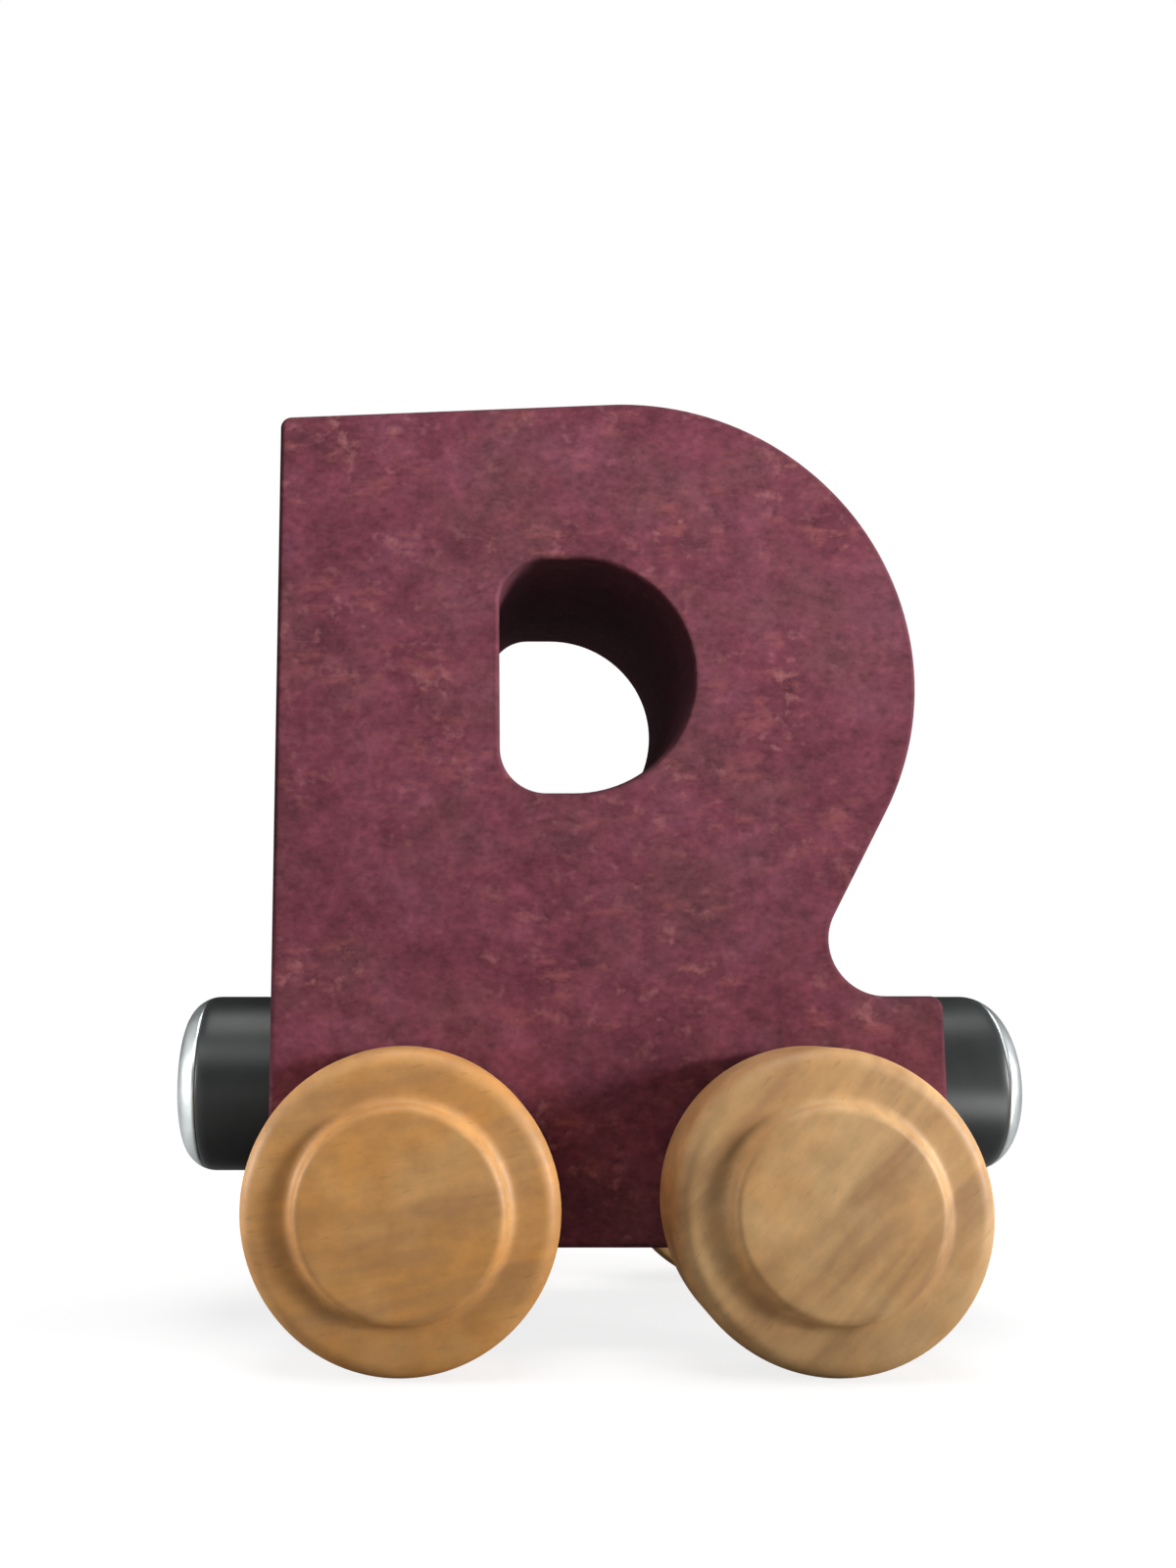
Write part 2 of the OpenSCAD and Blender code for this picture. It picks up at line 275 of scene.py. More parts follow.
def turn_profile(bm, plane, profile, segments):
    """Spins a profile whose points are (radius, height) into a closed, smooth body."""
    chain = draw_chain(bm, plane, profile[0], profile[1:])
    geom = list({v for e in chain for v in e.verts}) + chain
    bmesh.ops.spin(bm, geom=geom, cent=plane.translation, axis=plane.to_3x3().col[1],
                   angle=math.tau, steps=segments, use_merge=True)
    for face in bm.faces:
        face.smooth = True


def make_piece(name, bm, material, body, node):
    """Turns a finished bmesh into a piece that rides on a body and stands for a node."""
    bmesh.ops.remove_doubles(bm, verts=bm.verts, dist=WELD)
    bmesh.ops.dissolve_degenerate(bm, edges=bm.edges, dist=WELD)
    bmesh.ops.recalc_face_normals(bm, faces=bm.faces)
    mesh = bpy.data.meshes.new(name)
    bm.to_mesh(mesh)
    bm.free()
    mesh.materials.append(material)
    piece = bpy.data.objects.new(name, mesh)
    bpy.context.scene.collection.objects.link(piece)
    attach(piece, body)
    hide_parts(node)
    return piece


def letter_chains(bm, shape, plane, span, height):
    """Draws the outline of the letter and of its hole, with the origin at the front bottom corner."""
    corner = shape.corner_radius
    foot = shape.foot_height
    fall = shape.top_fall
    slope = shape.leg_slope
    bowl = Vector((shape.bowl_reach - shape.bowl_radius, height - shape.bowl_radius))
    leg_normal = Vector((math.cos(slope), -math.sin(slope)))
    top_normal = Vector((-math.sin(fall), math.cos(fall)))
    leg_top = bowl + shape.bowl_radius * leg_normal
    top_end = bowl + shape.bowl_radius * top_normal
    # The notch touches the sloped leg edge and the top of the foot
    notch_z = foot + shape.notch_radius
    leg_side = leg_top + shape.notch_radius * leg_normal
    notch = Vector((leg_side.x - (leg_side.y - notch_z) * math.tan(slope), notch_z))
    back_z = top_end.y - top_end.x * math.tan(fall)
    back = Vector((corner, back_z + corner * math.tan(fall) - corner / math.cos(fall)))
    outline = [
        (span - corner, 0), (span - corner, corner, QUARTER),
        (span, foot - corner), (span - corner, foot - corner, QUARTER),
        (notch.x, foot), (*notch, -QUARTER - slope),
        tuple(leg_top), (*bowl, QUARTER + slope + fall),
        tuple(back + corner * top_normal), (*back, QUARTER - fall),
        (0, corner), (corner, corner, QUARTER),
    ]
    draw_chain(bm, plane, (corner, 0), outline)

    radius = shape.hole_height / 2
    hole = Vector((shape.bowl_reach - shape.bowl_wall - radius, bowl.y + shape.hole_rise))
    corner_x = shape.stem_width + shape.hole_corner
    corner_up = radius - shape.hole_corner
    hole_outline = [
        (hole.x, hole.y - radius), (*hole, 2 * QUARTER),
        (corner_x, hole.y + radius), (corner_x, hole.y + corner_up, QUARTER),
        (shape.stem_width, hole.y - corner_up), (corner_x, hole.y - corner_up, QUARTER),
    ]
    draw_chain(bm, plane, (corner_x, hole.y - radius), hole_outline)


def raise_walls(bm, edges, heights):
    """Extrudes loops of edges along +Y by each height in turn and returns the last loops."""
    for height in heights:
        made = bmesh.ops.extrude_edge_only(bm, edges=edges)["geom"]
        edges = [g for g in made if isinstance(g, bmesh.types.BMEdge) and len(g.link_faces) == 1]
        bmesh.ops.translate(bm, verts=list({v for e in edges for v in e.verts}), vec=(0, height, 0))
    return edges


def fill_face(bm, edges, outward):
    """Fills flat loops, one inside another, with faces that point outward."""
    made = bmesh.ops.triangle_fill(bm, edges=edges, normal=outward, use_beauty=True)["geom"]
    faces = [g for g in made if isinstance(g, bmesh.types.BMFace)]
    bm.normal_update()
    turned = [f for f in faces if f.normal.dot(outward) < 0]
    bmesh.ops.reverse_faces(bm, faces=turned)
    return faces


def round_rim(bm, faces, radius, soak_and_shade):
    """Rounds the rim of a flat face by insets that rise along a quarter circle.

    The soak value, the walls' dye with its painted shade, fades from the wall to the face, and a last flat
    inset keeps the face's shading flat.
    """
    turns = [QUARTER * i / RIM_STEPS for i in range(RIM_STEPS + 1)]
    places = [(radius * (1 - math.cos(turn)), radius * math.sin(turn)) for turn in turns]
    for step, (inset, rise) in enumerate(places[1:]):
        inset_0, rise_0 = places[step]
        bmesh.ops.inset_region(bm, faces=faces, use_boundary=True, use_even_offset=True,
                               thickness=inset - inset_0, depth=rise - rise_0)
        for vert in {v for f in faces for v in f.verts}:
            vert[soak_and_shade] = RIM_SOAK_AND_SHADE * (1 - step / RIM_STEPS)
    bmesh.ops.inset_region(bm, faces=faces, use_boundary=True, use_even_offset=True, thickness=SUPPORT)
    for vert in {v for f in faces for v in f.verts}:
        vert[soak_and_shade] = 0


def drill_face(bm, faces, places, radius):
    """Fills flat faces again round the mouths of bores, and returns the edges of each mouth."""
    outward = faces[0].normal.copy()
    inside = set(faces)
    rim = [e for e in {e for f in faces for e in f.edges} if not inside.issuperset(e.link_faces)]
    bmesh.ops.delete(bm, geom=faces, context="FACES")
    mouths = []
    for place in places:
        made = bmesh.ops.create_circle(bm, radius=radius, segments=BORE_STEPS, matrix=place)["verts"]
        mouths.append(list({e for v in made for e in v.link_edges}))
    for face in fill_face(bm, rim + sum(mouths, []), outward):
        face.smooth = False
    return mouths


def drill_ends(bm, shape, lo, hi):
    """Drills a blind hole for a coupler's screw into the middle of each end."""
    for end, outward in ENDS.items():
        screw_lo, screw_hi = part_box(f"{end}_coupler_screw")
        wall_x = lo.x if outward < 0 else hi.x
        tip_x = screw_hi.x if outward < 0 else screw_lo.x
        centre = Vector((wall_x, 0, (screw_lo.z + screw_hi.z) / 2))
        place = Matrix.Translation(centre) @ Matrix.Rotation(QUARTER, 4, "Y")
        facing = [f for f in bm.faces if f.normal.x * outward > END_FACING]
        wall = max(facing, key=lambda f: f.calc_area())
        mouth, = drill_face(bm, [wall], [place], shape.screw_hole)
        bore = bmesh.ops.extrude_edge_only(bm, edges=mouth)["geom"]
        deep = [g for g in bore if isinstance(g, bmesh.types.BMVert)]
        bmesh.ops.translate(bm, verts=deep, vec=(tip_x - wall_x, 0, 0))
        bmesh.ops.contextual_create(bm, geom=deep)


def carve_letter(bm, shape):
    """Cuts the letter from its board, rounds the rims of both faces and drills it."""
    lo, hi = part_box("letter")
    soak_and_shade = bm.verts.layers.float.new("edge_soak")
    round_r = shape.edge_radius
    plane = plane_of((lo.x, lo.y + round_r, lo.z), (1, 0, 0), (0, 0, 1))
    letter_chains(bm, shape, plane, hi.x - lo.x, hi.z - lo.z)
    bmesh.ops.remove_doubles(bm, verts=bm.verts, dist=WELD)
    front_loops = list(bm.edges)
    wall = hi.y - lo.y - 2 * round_r
    back_loops = raise_walls(bm, front_loops, (SUPPORT, wall - 2 * SUPPORT, SUPPORT))
    for face in bm.faces:
        face.smooth = True
    # Every wall takes the full dye of a cut edge, with painted shade that darkens the walls and the inside of
    # the hole
    for vert in bm.verts:
        vert[soak_and_shade] = 1

    axles = [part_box(f"{end}_axle") for end in ENDS]
    bore_radius = (axles[0][1].z - axles[0][0].z) / 2 + shape.axle_clearance
    mouths = []
    for loops, level, way in ((front_loops, lo.y, -1), (back_loops, hi.y, 1)):
        faces = fill_face(bm, loops, Vector((0, way, 0)))
        round_rim(bm, faces, round_r, soak_and_shade)
        places = []
        for axle_lo, axle_hi in axles:
            centre = (axle_lo + axle_hi) / 2
            centre.y = level
            places.append(Matrix.Translation(centre) @ Matrix.Rotation(QUARTER, 4, "X"))
        mouths.append(drill_face(bm, faces, places, bore_radius))
    for front_mouth, back_mouth in zip(*mouths):
        bmesh.ops.bridge_loops(bm, edges=front_mouth + back_mouth)
    bmesh.ops.recalc_face_normals(bm, faces=bm.faces)
    drill_ends(bm, shape, lo, hi)


def wheel_profile(shape, radius, axle_radius, width):
    """Half section of a wheel from the bottom of its bore round to the middle of its hub."""
    slope = shape.hub_slope
    rim = width - shape.hub_proud
    hub = shape.hub_radius
    # The hub's edge and the cove below it make one smooth curve that falls by the hub's height
    cove = shape.hub_proud / (1 - math.cos(slope)) - shape.hub_edge
    cove_x = hub + (shape.hub_edge + cove) * math.sin(slope)
    rim_edge = min(shape.rim_edge, radius - cove_x)
    return [
        (0, shape.bore_depth), (axle_radius, shape.bore_depth), (axle_radius, 0),
        (radius - shape.back_edge, 0), (radius - shape.back_edge, shape.back_edge, QUARTER),
        (radius, rim - rim_edge), (radius - rim_edge, rim - rim_edge, QUARTER),
        (cove_x, rim), (cove_x, rim + cove, -slope),
        (hub, width - shape.hub_edge, slope), (0, width),
    ]


def end_point(shape, radius, depth, height):
    """Radius of a coupler's rounded end at a height, and the angle that the rounding has turned by there."""
    turned = math.asin((height - depth + shape.end_radius) / shape.end_radius)
    return radius - shape.end_radius * (1 - math.cos(turned)), turned


def sleeve_profile(shape, radius, depth, mouth):
    """Half section of a coupler's sleeve: a cup with a countersunk hole in its base."""
    bore = radius - shape.wall
    sink = shape.screw_head - shape.screw_hole
    lip, turned = end_point(shape, radius, depth, mouth - shape.seam)
    return [
        (shape.screw_hole, 0), (radius, 0), (radius, depth - shape.end_radius),
        (radius - shape.end_radius, depth - shape.end_radius, turned), (lip - shape.seam, mouth),
        (bore, mouth), (bore, shape.base), (shape.screw_head, shape.base),
        (shape.screw_hole, shape.base - sink), (shape.screw_hole, 0),
    ]


def cap_profile(shape, radius, depth, mouth, plug):
    """Half section of a coupler's plated cap, from the back of its plug to its face."""
    insert = radius - shape.wall - shape.clearance
    lip, turned = end_point(shape, radius, depth, mouth + shape.seam)
    return [
        (0, plug), (insert, plug), (insert, mouth), (lip - shape.seam, mouth), (lip, mouth + shape.seam),
        (radius - shape.end_radius, depth - shape.end_radius, QUARTER - turned), (0, depth),
    ]


def add_node(tree, kind, inputs=None, ramp=(), **settings):
    """Adds a shader node. Inputs map a socket to a value, or to the output that it is linked from."""
    made = tree.nodes.new("ShaderNode" + kind)
    for name, value in settings.items():
        setattr(made, name, value)
    for socket, value in (inputs or {}).items():
        if isinstance(value, bpy.types.NodeSocket):
            tree.links.new(value, made.inputs[socket])
        else:
            made.inputs[socket].default_value = value
    for index, (position, value) in enumerate(ramp):
        stops = made.color_ramp.elements
        stop = stops[index] if index < len(stops) else stops.new(position)
        stop.position = position
        stop.color = value if not isinstance(value, (int, float)) else (value, value, value, 1)
    return made


def per_size(millimetres):
    """Scale of a pattern whose features are this large."""
    return 1 / (millimetres * MM)


def new_material(name, **values):
    """Makes a material and returns it with its tree and its shader, whose plain values are set."""
    material = bpy.data.materials.new(name)
    material.use_nodes = True
    tree = material.node_tree
    shader = tree.nodes["Principled BSDF"]
    for socket, value in values.items():
        shader.inputs[socket.replace("_", " ")].default_value = value
    return material, tree, shader


def connect(tree, shader, **outputs):
    """Links outputs to the sockets of a shader that they are named for."""
    for socket, output in outputs.items():
        tree.links.new(output, shader.inputs[socket.replace("_", " ")])


def shaded(tree, tone, pattern, ramp):
    """Colour that is multiplied by a ramp of a pattern."""
    shade = add_node(tree, "ValToRGB", {"Fac": pattern}, ramp=ramp).outputs["Color"]
    return add_node(tree, "Mix", {0: 1.0, MIX_A: tone, MIX_B: shade},
                    data_type="RGBA", blend_type="MULTIPLY").outputs[MIX_OUT]


def dye_clouds(tree, place, along, finish):
    """Colour of the dye, which lies in soft clouds that are darker, pinker or browner by turns."""
    cloud = add_node(tree, "TexNoise", {"Vector": along, "Scale": per_size(4), "Detail": 3,
                                        "Roughness": 0.55}).outputs["Fac"]
    dyed = add_node(tree, "ValToRGB", {"Fac": cloud}, ramp=((0.28, finish.stain_dark), (0.5, finish.stain),
                                                            (0.72, finish.stain_pink))).outputs["Color"]
    drift = add_node(tree, "TexNoise", {"Vector": place, "Scale": per_size(6), "Detail": 4}).outputs["Fac"]
    brown = add_node(tree, "ValToRGB", {"Fac": drift}, ramp=((0.46, 0), (0.66, 0.45))).outputs["Color"]
    return add_node(tree, "Mix", {0: brown, MIX_A: dyed, MIX_B: finish.stain_brown},
                    data_type="RGBA").outputs[MIX_OUT]


def rub_marks(tree, wood, along, fibre, stroke, finish):
    """Adds rusty streaks and pale flecks to the wood's colour, most of them where it was rubbed hardest."""
    rub = add_node(tree, "TexNoise", {"Vector": fibre, "Scale": per_size(7), "Detail": 2}).outputs["Fac"]
    rubbed = add_node(tree, "MapRange", {"Value": rub, "From Min": 0.4, "From Max": 0.62}).outputs[0]
    # The way a kind of mark runs, its size in millimetres, detail and roughness, where it starts and is full
    marks = ((stroke, 1, 4, 0.6, 0.55, 0.72, finish.stain_rust),
             (along, 0.9, 3, 0.5, 0.58, 0.76, finish.stain_fleck))
    for way, size, detail, rough, start, full, tone in marks:
        mark = add_node(tree, "TexNoise", {"Vector": way, "Scale": per_size(size), "Detail": detail,
                                           "Roughness": rough}).outputs["Fac"]
        worn = add_node(tree, "MapRange", {"Value": mark, "From Min": start, "From Max": full,
                                           "To Max": 0.8}).outputs[0]
        shown = add_node(tree, "Math", {0: worn, 1: rubbed}, operation="MULTIPLY").outputs[0]
        wood = add_node(tree, "Mix", {0: shown, MIX_A: wood, MIX_B: tone}, data_type="RGBA").outputs[MIX_OUT]
    return wood


def stained_maple(finish):
    """Maple dyed burgundy and rubbed back.

    The dye lies in clouds over a fine felted grain, with marks where it was rubbed thin, and the cut edges
    drank more of it, deepened there into painted shade that darkens the walls and the inside of the hole.
    The surface is matt. The grain is drawn coarser than real maple's, so that it shows.
    """
    material, tree, shader = new_material("Burgundy stained maple", Specular_IOR_Level=0.15)
    place = add_node(tree, "TexCoord").outputs["Object"]
    tilt = (0, math.radians(6), 0)
    along = add_node(tree, "Mapping", {"Vector": place, "Scale": (0.85, 1, 1)}).outputs[0]
    fibre = add_node(tree, "Mapping", {"Vector": place, "Scale": (0.7, 1, 1), "Rotation": tilt}).outputs[0]
    stroke = add_node(tree, "Mapping", {"Vector": place, "Scale": (0.42, 1, 1), "Rotation": tilt}).outputs[0]

    felt = add_node(tree, "TexNoise", {"Vector": along, "Scale": per_size(1.3), "Detail": 6,
                                       "Roughness": 0.7}).outputs["Fac"]
    line = add_node(tree, "TexNoise", {"Vector": fibre, "Scale": per_size(0.4), "Detail": 3,
                                       "Roughness": 0.6}).outputs["Fac"]
    weave = add_node(tree, "Mix", {0: 0.36, 2: felt, 3: line}).outputs[0]
    woven = shaded(tree, dye_clouds(tree, place, along, finish), weave, ((0.3, 0.5), (0.7, 1.5)))
    marked = rub_marks(tree, woven, along, fibre, stroke, finish)
    # The cut edges are darker by their dye and by painted shade, most on the walls and inside the hole
    soak_and_shade = add_node(tree, "Attribute", attribute_name="edge_soak").outputs["Fac"]
    soaked_and_shaded = add_node(tree, "Math", {0: soak_and_shade, 1: 0.7}, operation="MULTIPLY").outputs[0]
    rimmed = add_node(tree, "Mix", {0: soaked_and_shaded, MIX_A: marked, MIX_B: finish.stain_soaked_and_shade},
                      data_type="RGBA").outputs[MIX_OUT]

    rough = add_node(tree, "MapRange", {"Value": felt, "To Min": 0.75, "To Max": 0.95}).outputs[0]
    bump = add_node(tree, "Bump", {"Height": weave, "Strength": 0.5, "Distance": 0.06 * MM}).outputs[0]
    connect(tree, shader, Base_Color=rimmed, Roughness=rough, Normal=bump)
    return material


def turned_maple(finish, name, centre, grain_turn, bands, pale):
    """Maple turned on a lathe and clear coated.

    The grain runs straight across the wheel in soft bands and faint lines under a fine mottle, and the coat
    gives a satin sheen. Bands is the contrast of the bands, and pale how pale the wheel's wood is. The lines
    and the pores are drawn coarser than real ones, so that they show.
    """
    material, tree, shader = new_material(name, Specular_IOR_Level=0.4, Coat_Weight=0.15, Coat_Roughness=0.4)
    place = add_node(tree, "TexCoord").outputs["Object"]
    middle = add_node(tree, "Mapping", {"Vector": place, "Location": -centre}).outputs[0]
    turned = add_node(tree, "Mapping", {"Vector": middle, "Rotation": (0, grain_turn, 0)}).outputs[0]
    board = add_node(tree, "Mapping", {"Vector": turned, "Scale": (0.2, 0.6, 1)}).outputs[0]

    cloud = add_node(tree, "TexNoise", {"Vector": turned, "Scale": per_size(5), "Detail": 3}).outputs["Fac"]
    warm = add_node(tree, "MapRange", {"Value": cloud, "From Min": 0.35, "From Max": 0.65,
                                       "To Min": pale - 0.3, "To Max": pale + 0.3}).outputs[0]
    wood = add_node(tree, "Mix", {0: warm, MIX_A: finish.maple, MIX_B: finish.maple_pale},
                    data_type="RGBA").outputs[MIX_OUT]
    band = add_node(tree, "TexNoise", {"Vector": board, "Scale": per_size(3.4), "Detail": 2,
                                       "Distortion": 0.6}).outputs["Fac"]
    line = add_node(tree, "TexNoise", {"Vector": board, "Scale": per_size(0.5), "Detail": 4,
                                       "Roughness": 0.6}).outputs["Fac"]
    band_dark = add_node(tree, "MapRange", {"Value": band, "From Min": 0.42, "From Max": 0.66,
                                            "To Max": bands}).outputs[0]
    line_dark = add_node(tree, "MapRange", {"Value": line, "From Min": 0.45, "From Max": 0.75,
                                            "To Max": 0.2}).outputs[0]
    dark = add_node(tree, "Math", {0: band_dark, 1: line_dark}, operation="ADD", use_clamp=True).outputs[0]
    grained = add_node(tree, "Mix", {0: dark, MIX_A: wood, MIX_B: finish.maple_dark},
                       data_type="RGBA").outputs[MIX_OUT]
    mottle = add_node(tree, "TexNoise", {"Vector": turned, "Scale": per_size(1.8), "Detail": 6,
                                         "Roughness": 0.62}).outputs["Fac"]
    pore = add_node(tree, "TexNoise", {"Vector": board, "Scale": per_size(0.25), "Detail": 1}).outputs["Fac"]
    mottled = shaded(tree, grained, mottle, ((0.3, 0.9), (0.7, 1.14)))
    pored = shaded(tree, mottled, pore, ((0.22, 0.85), (0.36, 1)))

    rough = add_node(tree, "MapRange", {"Value": line, "To Min": 0.45, "To Max": 0.65}).outputs[0]
    bump = add_node(tree, "Bump", {"Height": mottle, "Strength": 0.3, "Distance": 0.04 * MM}).outputs[0]
    connect(tree, shader, Base_Color=pored, Roughness=rough, Normal=bump)
    return material


def moulded_plastic(finish):
    """Moulded black plastic that mirrors bright things as soft bands.

    The faint grain that its tool left is drawn coarser than a real one, so that it shows.
    """
    material, tree, shader = new_material("Moulded black plastic", IOR=1.49)
    place = add_node(tree, "TexCoord").outputs["Object"]
    cloud = add_node(tree, "TexNoise", {"Vector": place, "Scale": per_size(2.5), "Detail": 4}).outputs["Fac"]
    tone = shaded(tree, finish.plastic, cloud, ((0.3, 0.8), (0.7, 1.15)))
    rough = add_node(tree, "MapRange", {"Value": cloud, "To Min": 0.34, "To Max": 0.44}).outputs[0]
    grain = add_node(tree, "TexNoise", {"Vector": place, "Scale": per_size(0.18), "Detail": 2}).outputs["Fac"]
    bump = add_node(tree, "Bump", {"Height": grain, "Strength": 0.2, "Distance": 0.02 * MM}).outputs[0]
    connect(tree, shader, Base_Color=tone, Roughness=rough, Normal=bump)
    return material


def plain_metal(name, tone, grain_size, rough, stretch=(1, 1, 1)):
    """Metal whose finish is a fine grain, drawn out along one way, that varies its gloss and tone."""
    material, tree, shader = new_material(name, Metallic=1.0)
    place = add_node(tree, "TexCoord").outputs["Object"]
    drawn = add_node(tree, "Mapping", {"Vector": place, "Scale": stretch}).outputs[0]
    grain = add_node(tree, "TexNoise", {"Vector": drawn, "Scale": per_size(grain_size),
                                        "Detail": 4}).outputs["Fac"]
    toned = shaded(tree, tone, grain, ((0.3, 0.86), (0.7, 1)))
    gloss = add_node(tree, "MapRange", {"Value": grain, "To Min": rough[0], "To Max": rough[1]}).outputs[0]
    bump = add_node(tree, "Bump", {"Height": grain, "Strength": 0.1, "Distance": 0.01 * MM}).outputs[0]
    connect(tree, shader, Base_Color=toned, Roughness=gloss, Normal=bump)
    return material


def sintered_ferrite(finish):
    """Sintered ferrite, dark and matt with a gritty skin."""
    material, tree, shader = new_material("Sintered ferrite", Roughness=0.75)
    place = add_node(tree, "TexCoord").outputs["Object"]
    grit = add_node(tree, "TexNoise", {"Vector": place, "Scale": per_size(0.3), "Detail": 4}).outputs["Fac"]
    tone = shaded(tree, finish.ferrite, grit, ((0.3, 0.7), (0.7, 1.2)))
    bump = add_node(tree, "Bump", {"Height": grit, "Strength": 0.4, "Distance": 0.03 * MM}).outputs[0]
    connect(tree, shader, Base_Color=tone, Normal=bump)
    return material


def finish_node(node, material):
    """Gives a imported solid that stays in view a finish."""
    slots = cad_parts[node].data.materials
    slots.clear()
    slots.append(material)


class LETTERCAR_OT_letter(Operator):
    """Cut the letter from its board and stain it"""

    bl_idname = "letter_car.letter"
    bl_label = "Letter"

    def execute(self, context):
        car = context.scene.letter_car
        bm = bmesh.new()
        carve_letter(bm, car.letter)
        make_piece("letter_board", bm, stained_maple(car.finish), "car", "letter")
        return {"FINISHED"}


class LETTERCAR_OT_wheels(Operator):
    """Turn the four wheels, each with its own run of grain"""

    bl_idname = "letter_car.wheels"
    bl_label = "Wheels"

    # Turn of each wheel's grain from level in degrees, contrast of its bands and paleness of its wood
    figures = {"front_left": (12, 0.6, 0.15), "front_right": (68, 0.5, 0.4),
               "rear_left": (46, 0.8, 0.85), "rear_right": (-20, 0.4, 0.6)}

    def execute(self, context):
        car = context.scene.letter_car
        for corner, (turn, bands, pale) in self.figures.items():
            end, side = corner.split("_")
            lo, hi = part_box(f"{corner}_wheel")
            axle_lo, axle_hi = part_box(f"{end}_axle")
            outward = SIDES[side]
            centre = (lo + hi) / 2
            back_y = hi.y if outward < 0 else lo.y
            plane = plane_of((centre.x, back_y, centre.z), (1, 0, 0), (0, outward, 0))
            profile = wheel_profile(car.wheel, (hi.z - lo.z) / 2, (axle_hi.z - axle_lo.z) / 2, hi.y - lo.y)
            bm = bmesh.new()
            turn_profile(bm, plane, profile, car.wheel.segments)
            maple = turned_maple(car.finish, f"Clear coated maple {corner}", centre, math.radians(turn),
                                 bands, pale)
            make_piece(f"{corner}_turned_wheel", bm, maple, f"{end}_wheelset", f"{corner}_wheel")
        return {"FINISHED"}


class LETTERCAR_OT_couplers(Operator):
    """Mould the coupler sleeves and form the plated caps"""

    bl_idname = "letter_car.couplers"
    bl_label = "Couplers"

    def execute(self, context):
        car = context.scene.letter_car
        plastic = moulded_plastic(car.finish)
        nickel = plain_metal("Polished nickel plate", car.finish.nickel, grain_size=1.2, rough=(0.24, 0.38))
        for end, outward in ENDS.items():
            # Heights are measured out from the end of the letter
            lo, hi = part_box(f"{end}_coupler_sleeve")
            cap_lo, cap_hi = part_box(f"{end}_coupler_cap")
            centre = (lo + hi) / 2
            wall_x = hi.x if outward < 0 else lo.x
            radius = (hi.z - lo.z) / 2
            mouth = hi.x - lo.x
            plug, depth = sorted(abs(x - wall_x) for x in (cap_lo.x, cap_hi.x))
            plane = plane_of((wall_x, centre.y, centre.z), (0, 0, 1), (outward, 0, 0))
            sleeve = sleeve_profile(car.coupler, radius, depth, mouth)
            cap = cap_profile(car.coupler, radius, depth, mouth, plug)
            kinds = {"sleeve": (sleeve, plastic, "black_plastic"), "cap": (cap, nickel, "nickel_plate")}
            for kind, (profile, material, slot) in kinds.items():
                bm = bmesh.new()
                turn_profile(bm, plane, profile, car.wheel.segments)
                node = f"{end}_coupler_{kind}"
                make_piece(f"{node}_skin", bm, material, "car", node)
        return {"FINISHED"}


class LETTERCAR_OT_hardware(Operator):
    """Finish the axles, the magnets and the screws"""

    bl_idname = "letter_car.hardware"
    bl_label = "Hardware"

    def execute(self, context):
        finish = context.scene.letter_car.finish
        axle = plain_metal("Drawn steel rod", finish.steel, grain_size=0.25, rough=(0.22, 0.4),
                           stretch=(1, 0.04, 1))
        screw = plain_metal("Zinc plated steel", finish.zinc, grain_size=0.5, rough=(0.3, 0.45))
        magnet = sintered_ferrite(finish)
        for end in ENDS:
            finish_node(f"{end}_axle", axle)
            finish_node(f"{end}_coupler_screw", screw)
            finish_node(f"{end}_coupler_magnet", magnet)
        return {"FINISHED"}


def pale_floor(stage):
    """Pale matt floor that keeps the car's shadow.

    It glows for the camera, so that it runs into the white backdrop. For glossy surfaces alone it glows as a
    painted reflection past both ends of the car, more at the left and less behind, with a bright patch before
    the rear coupler, which lays painted highlights on the caps and the sleeves.
    """
    material, tree, shader = new_material("Pale floor", Base_Color=stage.floor, Roughness=0.9)
    path = add_node(tree, "LightPath").outputs
    place = add_node(tree, "TexCoord").outputs["Object"]
    axes = add_node(tree, "SeparateXYZ", {"Vector": place}).outputs
    # Painted reflection: glossy surfaces see the floor glow past both ends of the car
    sideways = add_node(tree, "Math", {0: axes["X"]}, operation="ABSOLUTE").outputs[0]
    end_reflection = add_node(tree, "MapRange", {"Value": sideways, "From Min": 30 * MM,
                                       "From Max": 50 * MM}).outputs[0]
    left = add_node(tree, "MapRange", {"Value": axes["X"], "From Min": 30 * MM, "From Max": -30 * MM,
                                       "To Min": 0.8, "To Max": 1.2}).outputs[0]
    behind = add_node(tree, "MapRange", {"Value": axes["Y"], "From Min": -20 * MM, "From Max": 30 * MM,
                                         "To Min": 1, "To Max": 0.3}).outputs[0]
    for factor in (left, behind):
        end_reflection = add_node(tree, "Math", {0: end_reflection, 1: factor}, operation="MULTIPLY").outputs[0]
    # Painted reflection: a bright patch before the rear coupler, seen only in the caps and the sleeves
    away = add_node(tree, "VectorMath", {0: place, 1: stage.reflection_patch_place}, operation="DISTANCE")
    reflection_patch = add_node(tree, "MapRange", {"Value": away.outputs["Value"], "From Min": 28 * MM,
                                        "From Max": 12 * MM, "To Max": stage.reflection_patch_glow}).outputs[0]
    painted_reflection = add_node(tree, "Math", {0: end_reflection, 1: reflection_patch}, operation="ADD").outputs[0]
    mirrored = add_node(tree, "Math", {0: painted_reflection, 1: path["Is Glossy Ray"]}, operation="MULTIPLY").outputs[0]
    seen = add_node(tree, "Math", {0: path["Is Camera Ray"], 1: mirrored}, operation="MAXIMUM").outputs[0]
    glow = add_node(tree, "Math", {0: seen, 1: stage.floor_glow}, operation="MULTIPLY").outputs[0]
    shader.inputs["Emission Color"].default_value = stage.backdrop
    connect(tree, shader, Emission_Strength=glow)
    return material


